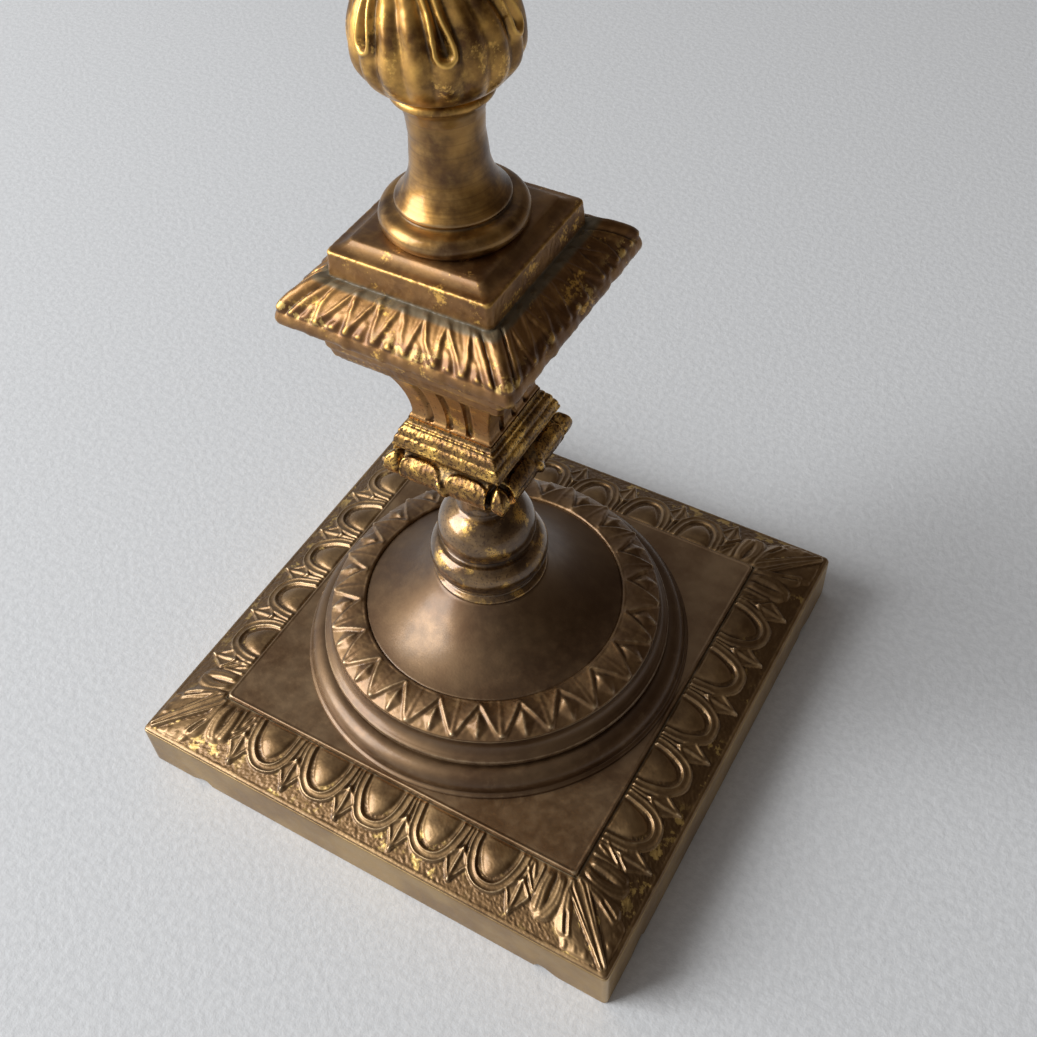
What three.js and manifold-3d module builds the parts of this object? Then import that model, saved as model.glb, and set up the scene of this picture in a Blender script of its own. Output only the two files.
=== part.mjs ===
// Brass candlestick in the Louis XVI taste, as an assembly of turned and cast pieces.
//
// Millimetres, +Z up, origin at the centre of the face that it stands on.
// The cast and turned pieces are stacked on one threaded rod, which screws into the candle socket
// and is drawn tight by a nut and washer in the hollow under the base. The drip pan lifts out.
//
// Ornament in relief is left off: each piece has the plain envelope that its ornament lies on.

import * as THREE from "three";
import { mergeVertices } from "three/addons/utils/BufferGeometryUtils.js";
import Module from "manifold-3d";

const wasm = await Module();
wasm.setup();

// ---------------------------------------------------------------- driving dimensions, mm

const clearance = 0.3; // free gap round the rod's thread and under the drip pan

// Square base, cast hollow
const baseHalf = 55;
const slabTop = 12;
const platformHalf = 41.2;
const platformTop = 16.6;
const baseWall = 4.5;
const baseHollowTop = 10;

// Joints between the stacked pieces, from the platform up
const collarBottom = 40.4;
const blockBottom = 70;
const shaftBottom = 84.6;
const plateBottom = 101;
const neckBottom = 123.6;
const ringBottom = 144.6;
const bulbBottom = 146.3;
const knopBottom = 184;
const socketBottom = 196;
const socketTop = 232;

// Candle socket and drip pan
const socketFloor = 206;
const socketBore = 12.6;
const sleeveRadius = 12.2;
const candleRadius = 11.1;
const sleeveBottom = 212;
const panRadius = 23;
const panTop = 239;

// Tie rod, washer and nut
const rodRadius = 2.5;
const rodBottom = 2.5;
const rodBore = rodRadius + clearance;
const rodTop = 203;
const washerRadius = 14;
const washerThickness = 1.8;
const nutHeight = 4;
const nutAcrossFlats = 8;

// Facets round a turned piece
const coarse = 24;
const fine = 36;

// ---------------------------------------------------------------- profiles

/** A circular arc from one profile point to another that stands off its chord by `bulge`. */
function bow([r0, z0], [r1, z1], bulge, steps = 4) {
  const chord = Math.hypot(r1 - r0, z1 - z0);
  const normal = [(z1 - z0) / chord, (r0 - r1) / chord];
  const halfAngle = 2 * Math.atan2(2 * bulge, chord);
  const radius = chord / 2 / Math.sin(halfAngle);
  const points = [];
  for (let i = 0; i <= steps; i += 1) {
    const angle = halfAngle * ((2 * i) / steps - 1);
    const along = 0.5 + (radius * Math.sin(angle)) / chord;
    const out = radius * (Math.cos(angle) - Math.cos(halfAngle));
    points.push([
      r0 + (r1 - r0) * along + normal[0] * out,
      z0 + (z1 - z0) * along + normal[1] * out,
    ]);
  }
  return points;
}

/** Turns a profile of [radius, height] points, listed upwards along the outside, about Z. */
function turned(profile, segments) {
  const points = profile.map(([r, z]) => new THREE.Vector2(r, z));
  return new THREE.LatheGeometry(points, segments).rotateX(Math.PI / 2);
}

/** As turned, closed down a central bore from the profile's last point to its first. */
function turnedRound(bore, profile, segments) {
  const bottom = [bore, profile[0][1]];
  const top = [bore, profile[profile.length - 1][1]];
  return turned([bottom, ...profile, top, bottom], segments);
}

/** A square piece: profile radii are half its side, and it closes on the axis top and bottom. */
function squared(profile) {
  const corners = profile.map(([half, z]) => [half * Math.SQRT2, z]);
  return turned(corners, 4).rotateZ(Math.PI / 4);
}

// ---------------------------------------------------------------- cutting

/** The geometry as a solid, with its shared vertices merged. */
function solid(geometry) {
  const bare = geometry.clone();
  bare.deleteAttribute("normal");
  bare.deleteAttribute("uv");
  const merged = mergeVertices(bare, 1e-4);
  return new wasm.Manifold(
    new wasm.Mesh({
      numProp: 3,
      vertProperties: new Float32Array(merged.attributes.position.array),
      triVerts: new Uint32Array(merged.index.array),
    })
  );
}

/** `geometry` less each of the cutters. */
function cut(geometry, ...cutters) {
  let body = solid(geometry);
  for (const cutter of cutters) {
    body = body.subtract(solid(cutter));
  }
  const mesh = body.getMesh();
  const result = new THREE.BufferGeometry();
  result.setAttribute("position", new THREE.BufferAttribute(mesh.vertProperties, 3));
  result.setIndex(new THREE.BufferAttribute(mesh.triVerts, 1));
  result.computeVertexNormals();
  return result;
}

/** The clearance hole that the rod passes through, long enough to cut any piece. */
function rodHole() {
  const length = socketTop + 10;
  return new THREE.CylinderGeometry(rodBore, rodBore, length, coarse)
    .rotateX(Math.PI / 2)
    .translate(0, 0, length / 2 - 5);
}

// ---------------------------------------------------------------- base

/** Square casting: slab, sloping border for the egg and dart, flat platform, hollow below. */
function basePlinth() {
  const borderFoot = [baseHalf - 0.8, slabTop + 0.5];
  const borderHead = [platformHalf + 0.8, platformTop - 0.8];
  const outside = squared([
    [0, 0],
    [baseHalf, 0],
    [baseHalf, slabTop],
    ...bow(borderFoot, borderHead, 0.7, 3),
    [platformHalf, platformTop],
    [0, platformTop],
  ]);
  const hollowHalf = baseHalf - baseWall;
  const hollow = squared([
    [0, -1],
    [hollowHalf, -1],
    [hollowHalf, baseHollowTop],
    [0, baseHollowTop],
  ]);
  return cut(outside, hollow, rodHole());
}

/** Round stepped moulding, leaf ring and bell, turned as one shell with 3 mm walls. */
function baseDome() {
  const foot = platformTop;
  const outside = [
    [40.8, foot],
    [40.8, foot + 0.7],
    ...bow([40, 17.7], [36.2, 21.3], 1.1),
    [35.7, 21.5],
    [36.4, 22.1],
    [36.3, 23.1],
    ...bow([36, 23.4], [34.2, 27.2], -0.6, 3),
    ...bow([34.2, 27.5], [27.3, 30], 0.6, 3),
    [26.8, 29.8],
    ...bow([26.6, 29.8], [11.4, collarBottom], -1.4, 6),
  ];
  const inside = [
    [rodBore, collarBottom],
    [rodBore, collarBottom - 3.6],
    [10.5, collarBottom - 3.6],
    [24.5, 27],
    [31.4, 25.6],
    [33, 20.5],
    [36.6, foot],
  ];
  return turned([...outside, ...inside, outside[0]], fine);
}

// ---------------------------------------------------------------- stem

/** Turned bobbin: lip, large torus, groove, ball and a short neck up to the square block. */
function stemCollar() {
  return turnedRound(
    rodBore,
    [
      [11.1, collarBottom],
      [11.3, 41.2],
      [10.9, 42],
      ...bow([10.3, 42.4], [9.9, 49.4], 1.6),
      [9, 49.9],
      ...bow([9.4, 50.6], [5.6, 59], 1.6),
      ...bow([5.3, 60], [7.4, 68.6], -0.9, 3),
      [7.6, blockBottom],
    ],
    coarse
  );
}

/** Small square pedestal: reed-and-ribbon roll below, sloping band above. */
function lowerBlock() {
  const rollRadius = 3.2;
  const rollAxis = 9.3;
  const rollFoot = [rollAxis, 71.2];
  const rollHead = [rollAxis, 71.2 + 2 * rollRadius];
  return cut(
    squared([
      [0, blockBottom],
      [8.6, blockBottom],
      ...bow(rollFoot, rollHead, rollRadius, 6),
      [9.3, 78.4],
      [11.2, 78.8],
      [11.2, 79.6],
      ...bow([10.9, 79.8], [9.3, 82.8], 0.35, 3),
      [9.1, 83.6],
      [8.5, 83.8],
      [8.5, shaftBottom],
      [0, shaftBottom],
    ]),
    rodHole()
  );
}

/** Square shaft, waisted below and flaring to the plate; its flutes are cut in the surface. */
function flutedShaft() {
  return cut(
    squared([
      [0, shaftBottom],
      [8.3, shaftBottom],
      [7.9, 86.2],
      ...bow([8, 87.6], [13.9, plateBottom], -1.1, 5),
      [0, plateBottom],
    ]),
    rodHole()
  );
}

/** Square plate: soffit moulding, rim, sloping band for the leaves, and a raised square step. */
function upperPlate() {
  return cut(
    squared([
      [0, plateBottom],
      [15.4, plateBottom],
      [15.9, 102],
      [16.4, 104],
      ...bow([16.6, 104.4], [20.4, 110.4], -1, 3),
      [21.2, 110.6],
      [21.4, 112.2],
      ...bow([21.2, 112.8], [15.4, 117.6], 0.5, 3),
      [14.7, 117.8],
      [14.4, 122.2],
      ...bow([13.8, 122.4], [11.8, neckBottom], -0.25, 2),
      [0, neckBottom],
    ]),
    rodHole()
  );
}

/** Turned neck: torus foot, groove, flare and waist. */
function stemNeck() {
  return turnedRound(
    rodBore,
    [
      [10.7, neckBottom],
      ...bow([10.9, 123.8], [10.2, 127], 1),
      [8.6, 127.4],
      [8.9, 128.2],
      ...bow([8.6, 128.6], [5.9, 135.2], -0.7, 3),
      [5.6, 138.6],
      [5.8, 142],
      [6.4, ringBottom],
    ],
    coarse
  );
}

/** Thin ring between the neck and the bulb. */
function neckRing() {
  const height = bulbBottom - ringBottom;
  return turnedRound(
    rodBore,
    [
      [7, ringBottom],
      ...bow([7.2, ringBottom + 0.1], [7.2, ringBottom + height - 0.1], 0.4, 2),
      [7, bulbBottom],
    ],
    coarse
  );
}

/** Leaf-clad bulb, widest low down, drawn out to a slim neck. */
function leafBulb() {
  return turnedRound(
    rodBore,
    [
      [7, bulbBottom],
      ...bow([8.2, 146.9], [11.9, 153], 1),
      ...bow([11.9, 153.6], [9.3, 161], 0.6, 3),
      ...bow([9.1, 161.6], [5.4, 180.4], -0.7, 4),
      [5.2, knopBottom],
    ],
    coarse
  );
}

/** Turned knop under the socket: fillet, cove, torus, groove and fillet. */
function upperKnop() {
  return turnedRound(
    rodBore,
    [
      [6.8, knopBottom],
      [6.8, 185.4],
      [5.3, 186.2],
      [5.5, 187],
      ...bow([6.6, 187.4], [6.6, 192.2], 1.9, 4),
      [5.3, 192.8],
      [5.3, 193.8],
      [7.2, 194.6],
      [7.2, socketBottom],
    ],
    coarse
  );
}

// ---------------------------------------------------------------- socket and drip pan

/** Vase-shaped candle socket: blind hole below for the rod, open bore above for the sleeve. */
function candleSocket() {
  const outside = [
    [6.4, socketBottom],
    ...bow([6.6, 196.6], [12.6, 203.4], 1.2),
    [13.6, 205],
    ...bow([13.4, 206.4], [14.2, 227.8], -0.7, 5),
    ...bow([15, 228.4], [15, 231.4], 0.8, 3),
    [14.8, socketTop],
  ];
  return turned(
    [
      [0, rodTop + 0.6],
      [rodBore, rodTop + 0.6],
      [rodBore, socketBottom],
      ...outside,
      [socketBore, socketTop],
      [socketBore, socketFloor],
      [0, socketFloor],
    ],
    coarse
  );
}

/** Removable drip pan: dished disc with a rolled rim on a sleeve that holds the candle. */
function dripPan() {
  const rest = socketTop + clearance;
  return turned(
    [
      [sleeveRadius, sleeveBottom],
      [sleeveRadius, rest],
      [16.6, rest],
      ...bow([17, rest + 0.1], [21.8, 236.6], -0.6, 3),
      [22.6, 237],
      ...bow([panRadius, 237.4], [panRadius, panTop - 0.2], 0.3, 2),
      [22.4, panTop],
      ...bow([21.6, 238.4], [16.6, 234], 0.6, 3),
      [13.6, 234],
      [12.8, 236.6],
      [candleRadius, 236.6],
      [candleRadius, sleeveBottom],
      [sleeveRadius, sleeveBottom],
    ],
    fine
  );
}

// ---------------------------------------------------------------- fastenings

/** Threaded rod from under the base to the socket, plain on its thread's outer diameter. */
function tieRod() {
  const chamfer = 0.6;
  return turned(
    [
      [0, rodBottom],
      [rodRadius - chamfer, rodBottom],
      [rodRadius, rodBottom + chamfer],
      [rodRadius, rodTop - chamfer],
      [rodRadius - chamfer, rodTop],
      [0, rodTop],
    ],
    coarse
  );
}

/** Broad washer under the plinth's ceiling. */
function tieWasher() {
  const bottom = baseHollowTop - washerThickness;
  return turnedRound(
    rodBore,
    [
      [washerRadius, bottom],
      [washerRadius, baseHollowTop],
    ],
    coarse
  );
}

/** Hexagon nut under the washer. */
function tieNut() {
  const cornerRadius = nutAcrossFlats / Math.sqrt(3);
  const top = baseHollowTop - washerThickness;
  const hexagon = turned(
    [
      [0, top - nutHeight],
      [cornerRadius - 0.4, top - nutHeight],
      [cornerRadius, top - nutHeight + 0.4],
      [cornerRadius, top],
      [0, top],
    ],
    6
  );
  return cut(hexagon, rodHole());
}

// ---------------------------------------------------------------- assembly

const agedBrass = { color: 0x8a6d45, metalness: 0.9, roughness: 0.42 };
const darkBrass = { color: 0x5e4830, metalness: 0.9, roughness: 0.38 };
const wornGilt = { color: 0xb08a3e, metalness: 0.95, roughness: 0.35 };
const steel = { color: 0x77746e, metalness: 0.9, roughness: 0.5 };

const pieces = [
  ["base_plinth", basePlinth, agedBrass],
  ["base_dome", baseDome, darkBrass],
  ["stem_collar", stemCollar, darkBrass],
  ["lower_block", lowerBlock, wornGilt],
  ["fluted_shaft", flutedShaft, wornGilt],
  ["upper_plate", upperPlate, agedBrass],
  ["stem_neck", stemNeck, agedBrass],
  ["neck_ring", neckRing, wornGilt],
  ["leaf_bulb", leafBulb, wornGilt],
  ["upper_knop", upperKnop, agedBrass],
  ["candle_socket", candleSocket, agedBrass],
  ["drip_pan", dripPan, agedBrass],
  ["tie_rod", tieRod, steel],
  ["tie_washer", tieWasher, steel],
  ["tie_nut", tieNut, steel],
];

const candlestick = new THREE.Group();
for (const [name, build, look] of pieces) {
  const mesh = new THREE.Mesh(build(), new THREE.MeshStandardMaterial(look));
  mesh.name = name;
  candlestick.add(mesh);
}

export default candlestick;
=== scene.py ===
"""Brass candlestick in the Louis XVI taste: cast relief, turned profiles and a worn patina.

Lengths are millimetres until a mesh is made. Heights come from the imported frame.
"""

import math

import bmesh
import bpy
import numpy as np
from mathutils import Matrix, Vector


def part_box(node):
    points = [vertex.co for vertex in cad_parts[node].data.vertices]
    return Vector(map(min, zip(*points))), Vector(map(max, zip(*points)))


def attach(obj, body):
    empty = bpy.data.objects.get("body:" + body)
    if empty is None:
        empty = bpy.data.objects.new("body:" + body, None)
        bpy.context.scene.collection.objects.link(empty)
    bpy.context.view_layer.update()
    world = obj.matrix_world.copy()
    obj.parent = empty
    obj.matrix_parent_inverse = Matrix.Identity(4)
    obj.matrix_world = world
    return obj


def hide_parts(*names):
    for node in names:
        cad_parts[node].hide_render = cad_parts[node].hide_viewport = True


MM = 0.001
ROD_BORE = 2.8

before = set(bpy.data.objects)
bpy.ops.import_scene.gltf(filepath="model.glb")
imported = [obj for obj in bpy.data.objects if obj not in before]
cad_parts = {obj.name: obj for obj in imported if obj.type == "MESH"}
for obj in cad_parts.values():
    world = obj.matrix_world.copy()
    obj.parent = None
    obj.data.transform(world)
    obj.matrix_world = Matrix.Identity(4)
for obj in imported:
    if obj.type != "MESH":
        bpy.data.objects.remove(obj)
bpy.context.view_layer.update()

# ---------------- camera

CAMERA_TARGET = Vector((5.15, 3.39, 52.5)) * MM
CAMERA_DISTANCE = 243.9 * MM
CAMERA_AZIMUTH = math.radians(33.2)
CAMERA_ELEVATION = math.radians(49.36)
CAMERA_ROLL = math.radians(-4.16)
CAMERA_LENS = 43.55
CAMERA_SENSOR = 36


def make_camera():
    """Looks down at the base from the front right, as close as a hand would hold a phone."""
    level = math.cos(CAMERA_ELEVATION)
    back = Vector((
        math.sin(CAMERA_AZIMUTH) * level,
        -math.cos(CAMERA_AZIMUTH) * level,
        math.sin(CAMERA_ELEVATION),
    ))
    data = bpy.data.cameras.new("camera")
    data.sensor_width = CAMERA_SENSOR
    data.lens = CAMERA_LENS
    data.clip_start = 0.01
    camera = bpy.data.objects.new("camera", data)
    turn = back.to_track_quat("Z", "Y").to_matrix().to_4x4()
    roll = Matrix.Rotation(CAMERA_ROLL, 4, "Z")
    place = Matrix.Translation(CAMERA_TARGET + back * CAMERA_DISTANCE)
    camera.matrix_world = place @ turn @ roll
    bpy.context.scene.collection.objects.link(camera)
    bpy.context.scene.camera = camera


# ---------------- profiles

ARC_STEPS = 24


def node_span(node):
    """Bottom and top of a CAD node, in millimetres."""
    low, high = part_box(node)
    return low.z / MM, high.z / MM


def bow(start, end, bulge):
    """A circular arc from one profile point to another that stands off its chord by bulge."""
    (r0, z0), (r1, z1) = start, end
    chord = math.hypot(r1 - r0, z1 - z0)
    normal = ((z1 - z0) / chord, (r0 - r1) / chord)
    half_angle = 2 * math.atan2(2 * bulge, chord)
    radius = chord / 2 / math.sin(half_angle)
    points = []
    for i in range(ARC_STEPS + 1):
        angle = half_angle * (2 * i / ARC_STEPS - 1)
        along = 0.5 + radius * math.sin(angle) / chord
        out = radius * (math.cos(angle) - math.cos(half_angle))
        points.append((
            r0 + (r1 - r0) * along + normal[0] * out,
            z0 + (z1 - z0) * along + normal[1] * out,
        ))
    return points


def fine(points, step, soften=0.15):
    """The profile at even steps, with its edges eased over the length soften."""
    points = np.array(points, float)
    gaps = np.hypot(*np.diff(points, axis=0).T)
    points = points[np.concatenate([[True], gaps > 1e-6])]
    along = np.concatenate([[0], np.cumsum(np.hypot(*np.diff(points, axis=0).T))])
    part = 4
    count = max(2, round(along[-1] / step)) * part
    even = np.linspace(0, along[-1], count + 1)
    dense = np.stack([np.interp(even, along, points[:, i]) for i in (0, 1)], 1)
    reach = max(1, round(2.5 * soften / (step / part)))
    offsets = np.arange(-reach, reach + 1)
    weights = np.exp(-0.5 * (offsets * step / part / soften) ** 2)
    weights /= weights.sum()
    before = 2 * dense[0] - dense[reach:0:-1]
    after = 2 * dense[-1] - dense[-2:-reach - 2:-1]
    padded = np.concatenate([before, dense, after])
    smooth = np.stack([np.convolve(padded[:, i], weights, "valid") for i in (0, 1)], 1)
    return smooth[::part]


# ---------------- grids and meshes

EDGE_REACH = 2
HIDDEN_ROWS = 4
SHARP_ANGLE = math.radians(62)


def box_blur(values, reach, axis, wrap):
    """The mean over reach steps either way along one axis."""
    total = np.zeros_like(values)
    for k in range(-reach, reach + 1):
        if wrap:
            total += np.roll(values, k, axis)
        else:
            index = np.clip(np.arange(values.shape[axis]) + k, 0, values.shape[axis] - 1)
            total += np.take(values, index, axis)
    return total / (2 * reach + 1)


def grid_normals(points, wrap):
    """Outward normals of a grid of points whose rows always close on themselves."""
    up = np.roll(points, -1, 0) - np.roll(points, 1, 0)
    if wrap:
        round_ = np.roll(points, -1, 1) - np.roll(points, 1, 1)
    else:
        round_ = np.gradient(points, axis=1)
    normals = np.cross(round_, up)
    size = np.linalg.norm(normals, axis=2, keepdims=True)
    return normals / np.maximum(size, 1e-9)


def convexity(points, wrap):
    """How far each point stands above its surroundings: ridges above 0, grooves below."""
    mean = points
    for _ in range(2):
        mean = box_blur(mean, EDGE_REACH, 0, True)
        mean = box_blur(mean, EDGE_REACH, 1, wrap)
    return ((points - mean) * grid_normals(points, wrap)).sum(2)


def grid_piece(name, points, outside_rows, wrap=True, dust=None, merge=False):
    """A closed mesh from a grid of points: rows close into a section, columns go round or end in caps.

    It carries two surface values: edge, from convexity, and dust, which a piece may give. Dust
    above 0 is dirt, and below 0 it marks a dark ground with flecks of gold. The first and last
    rows of the outside meet a neighbour, so they count as no edge. merge welds points that
    coincide, as where a section reaches the axis.
    """
    rows, columns = points.shape[:2]
    index = np.arange(rows * columns).reshape(rows, columns)
    right, above = np.roll(index, -1, 1), np.roll(index, -1, 0)
    corner = np.roll(right, -1, 0)
    quads = np.stack([index, right, corner, above], 2)
    if not wrap:
        quads = quads[:, :-1]
    mesh = bpy.data.meshes.new(name)
    faces = quads.reshape(-1, 4).tolist()
    if not wrap:
        faces.append(index[:, 0].tolist())
        faces.append(index[::-1, -1].tolist())
    mesh.from_pydata((points.reshape(-1, 3) * MM).tolist(), [], faces)
    edge = convexity(points, wrap)
    hidden = [*range(HIDDEN_ROWS), *range(outside_rows - HIDDEN_ROWS, rows)]
    edge[hidden] = np.minimum(edge[hidden], 0)
    values = {
        "edge": edge,
        "dust": np.zeros((rows, columns)) if dust is None else dust,
    }
    for key, value in values.items():
        layer = mesh.attributes.new(key, "FLOAT", "POINT")
        layer.data.foreach_set("value", value.astype(np.float32).ravel())
    if merge:
        bm = bmesh.new()
        bm.from_mesh(mesh)
        bmesh.ops.remove_doubles(bm, verts=bm.verts, dist=1e-7)
        bm.to_mesh(mesh)
        bm.free()
    mesh.polygons.foreach_set("use_smooth", [True] * len(mesh.polygons))
    mesh.set_sharp_from_angle(angle=SHARP_ANGLE)
    piece = bpy.data.objects.new(name, mesh)
    bpy.context.scene.collection.objects.link(piece)
    return piece


def section_normals(section):
    """Outward normals of a closed section that is listed upwards along its outside."""
    along = np.roll(section, -1, 0) - np.roll(section, 1, 0)
    normals = np.stack([along[:, 1], -along[:, 0]], 1)
    return normals / np.maximum(np.hypot(*normals.T)[:, None], 1e-9)


def raised(section, rows, height):
    """The section's radius and height over the grid, with the outside rows raised along their normal."""
    normals = section_normals(section)
    lift = np.zeros((len(section), height.shape[1]))
    lift[:rows] = height
    radius = section[:, :1] + normals[:, :1] * lift
    level = section[:, 1:] + normals[:, 1:] * lift
    return radius, level


def turned(name, outside, inside, columns, relief=None, merge=False):
    """A round piece. relief is a function of radius, height and angle."""
    section = np.concatenate([outside, np.array(inside, float)])
    angle = np.arange(columns)[None, :] * 2 * math.pi / columns
    radius, level = outside[:, :1], outside[:, 1:]
    height = np.zeros((len(outside), columns))
    if relief:
        height = height + relief(radius, level, angle)
    radii, levels = raised(section, len(outside), height)
    points = np.stack([radii * np.cos(angle), radii * np.sin(angle), levels], 2)
    return grid_piece(name, points, len(outside), merge=merge)


SIDES = {"front": 0, "right": 1, "back": 2, "left": 3}


def on_side(quarter, along, out, levels):
    """Points of one side of a square piece, turned by that many quarter turns from the front."""
    c, s = math.cos(quarter * math.pi / 2), math.sin(quarter * math.pi / 2)
    return np.stack([along * c + out * s, along * s - out * c, levels], 2)


def eased_corner(across, half, corner):
    """Where a point of a square's side goes once the square's corners are rounded."""
    straight = half - corner
    over = np.clip((np.abs(across) - straight) / corner, 0, 1) * math.pi / 4
    turning = over > 0
    along = np.where(turning, np.sign(across) * (straight + corner * np.sin(over)), across)
    out = np.where(turning, straight + corner * np.cos(over), half)
    return along, out


def squared(name, outside, inside, columns, corner, relief=None, dust=None, reshape=None):
    """A square piece with rounded corners, made of four equal sides.

    relief and dust are functions of place across a side, half width and height. reshape takes
    the same and returns a new height for every point of the section.
    """
    section = np.concatenate([outside, np.array(inside, float)])
    share = np.linspace(-1, 1, columns + 1)[None, :-1]
    half, level = outside[:, :1], outside[:, 1:]
    height = np.zeros((len(outside), columns))
    if relief:
        height = height + relief(share * half, half, level)
    halves, levels = raised(section, len(outside), height)
    if reshape:
        levels = reshape(share * halves, halves, levels)
    along, out = eased_corner(share * halves, halves, corner)
    sides = [on_side(quarter, along, out, levels) for quarter in SIDES.values()]
    spread = np.zeros(halves.shape)
    if dust:
        spread[:len(outside)] = dust(share * half, half, level)
    return grid_piece(name, np.concatenate(sides, 1), len(outside), dust=np.tile(spread, (1, 4)))


# ---------------- relief shapes


def blend(low, high, x):
    """0 below low, 1 above high, and a smooth rise between."""
    t = np.clip((x - low) / (high - low), 0, 1)
    return t * t * (3 - 2 * t)


def ridge(x, half):
    """A rounded ridge of unit height and that half width."""
    return np.clip(1 - (x / np.maximum(half, 1e-6)) ** 2, 0, None)


def dome(x):
    """A unit half-round over x from 0, its middle, to 1, its edge."""
    return np.sqrt(np.clip(1 - x ** 2, 0, None))


def tent(x, half):
    """A pitched roof of unit height and that half width."""
    return np.where(half > 0.02, np.clip(1 - np.abs(x) / np.maximum(half, 0.02), 0, None), 0)


def round_box(x, y, power):
    """Distance from the middle of a rounded square of unit half width; 2 makes it a circle."""
    return (np.abs(x) ** power + np.abs(y) ** power) ** (1 / power)


def grain(shape, seed, passes=2):
    """Cast graininess: smoothed random heights, mean 0 and spread 1, the same each run."""
    values = np.random.default_rng(seed).normal(size=shape)
    for _ in range(passes):
        values = box_blur(box_blur(values, 1, 0, True), 1, 1, True)
    return values / values.std()


def wobble(a, b, phase):
    """A slow wander between -1 and 1 that keeps repeated ornament from looking machine made."""
    waves = np.sin(0.61 * a + 0.47 * b + phase) + np.sin(0.97 * a - 0.33 * b + 2.3 * phase)
    return (waves + np.sin(0.29 * a + 1.13 * b + 4.1 * phase)) / 3


def eased(height, passes=1):
    """Relief with its steps rounded, as casting leaves them."""
    for _ in range(passes):
        height = box_blur(box_blur(height, 1, 0, False), 1, 1, False)
    return height


# ---------------- base

PLATFORM_HALF = 41.2
EGG_PITCH = 13.2
DART_PLACES = [(k + 0.5) * EGG_PITCH for k in range(-3, 3)]
SLAB_HALF = 55
SLAB_TOP = 11.7
BORDER_TOP = 15.85
BORDER_COLUMNS = 560
BASE_CORNER = 0.95
FOOT_NOTCH_PLACE = SLAB_HALF - 13
FOOT_NOTCH_LIFT = 1.7
FOOT_HEIGHT = 5


def eggs(across, out):
    """Five eggs along a side in their moats, and the distance outside the U that rims each one."""
    beside = across - EGG_PITCH * np.clip(np.round(across / EGG_PITCH), -2, 2)
    down = np.clip(out - 0.9, 0, None)
    inner = np.hypot(beside / (3.5 - 0.7 * np.clip(down / 6.7, 0, 1) ** 2), down / 6.7)
    egg = (0.4 + 0.6 * blend(0.5, 5.0, out)) * dome(inner)
    size = round_box(beside / 6.1, down / 9.5, 2.3)
    slope = np.hypot(beside / 6.1 ** 2, down / 9.5 ** 2) / np.maximum(size, 0.05)
    outside = (size - 1) / np.maximum(slope, 0.05)
    band = blend(-2.0, -1.8, outside) * (0.26 + 0.14 * np.abs(outside + 0.95))
    band = (band + 0.22 * ridge(outside + 1.6, 0.28)) * (1 - blend(-0.15, 0.05, outside))
    rim = 0.6 * ridge(outside + 0.24, 0.28)
    moat = np.where(outside < -1.85, -0.4, 0)
    return np.maximum(np.where(inner < 1, egg, moat), np.maximum(band, rim)), outside


def dart(beside, out):
    """One arrowhead, point outwards, with raised edges and middle on a thin stem."""
    half = np.minimum((out - 4.7) / 2.9, (12.0 - out) / 4.4) * 2.5
    off = np.abs(beside)
    blade = 0.12 + 0.34 * ridge(off - half + 0.25, 0.4) + 0.42 * ridge(off, 0.45)
    blade = np.where((half > 0.05) & (off < half + 0.1), blade, 0)
    stem = 0.42 * ridge(off, 0.36) * blend(0.7, 1.3, out) * (1 - blend(5.6, 6.4, out))
    return np.maximum(blade, stem)


def side_leaf(beside, out):
    """The small leaf that leans into the gap past the last egg of each side."""
    across = beside + 7.6 - 0.41 * (out - 1.5)
    half = 1.85 * (1 - (out - 1.5) / 5.1)
    vein = 0.3 * ridge(across, 0.4) * (1 - blend(3, 4.5, out))
    leaf = 0.45 * ridge(np.abs(across) - half, 0.36) + vein
    return leaf * blend(0.8, 1.3, out) * (1 - blend(6.2, 6.6, out))


def corner_fingers(beside, out):
    """Curled acanthus fingers between the last dart and the mitre, with an eye in the outer one."""
    fingers = (
        (-4.1 + 0.02 * (out - 3) ** 2, 0.75 + 0.08 * out, 9.6),
        (-2.2 + 1.25 * np.sin(math.pi * np.clip(out - 1, 0, 9) / 9), 0.7 + 0.09 * out, 10.4),
        (0.2 + 0.028 * out ** 2, 0.6 + 0.12 * out, 11.3),
    )
    height = np.zeros(beside.shape)
    for line, half, tip in fingers:
        off = (beside - line) / half
        finger = (0.66 * dome(off) - 0.16 * ridge(off, 0.22)) * blend(0.8, 2.4, out)
        height = np.maximum(height, finger * (1 - blend(tip - 1.1, tip, out + 0.5 * off ** 2)))
    slit = beside - 1.75 - 0.44 * (out - 6.7)
    eye = ridge(slit, 0.45) * ridge(out - 8.3, 1.9)
    lips = ridge(np.abs(slit) - 0.62, 0.3) * ridge(out - 8.3, 2.2)
    height = height - 0.85 * eye + 0.22 * lips
    for place in (3.7, 5.8, 7.9):
        tip = np.hypot((beside - place - 0.3 * (out - 11)) / 0.75, (out - 11.2 - 0.06 * place) / 1.1)
        height = np.maximum(height, 0.42 * dome(tip))
    return height


def mitre_leaf(beside, out):
    """The lance leaf on the mitre: its height, where it lies, and the smooth blade beside it."""
    off = np.abs(out - beside) / math.sqrt(2)
    down = (out + beside) / math.sqrt(2)
    half = np.minimum(1.1 + 0.5 * (down - 0.5), 2.0 - 0.085 * (down - 2))
    on_leaf = (off < half) & (down > 0.5) & (out < 12.7)
    height = 0.3 + 0.22 * ridge(off - half + 0.24, 0.34) + 0.15 * ridge(off - 0.42 * half, 0.3)
    blade = 0.32 * blend(0, 2.2, off - half) * (1 - blend(3.2, 5.2, off - half)) * blend(3, 7, down)
    return height - 0.14 * tent(off, np.full_like(off, 0.5)), on_leaf, blade


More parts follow.
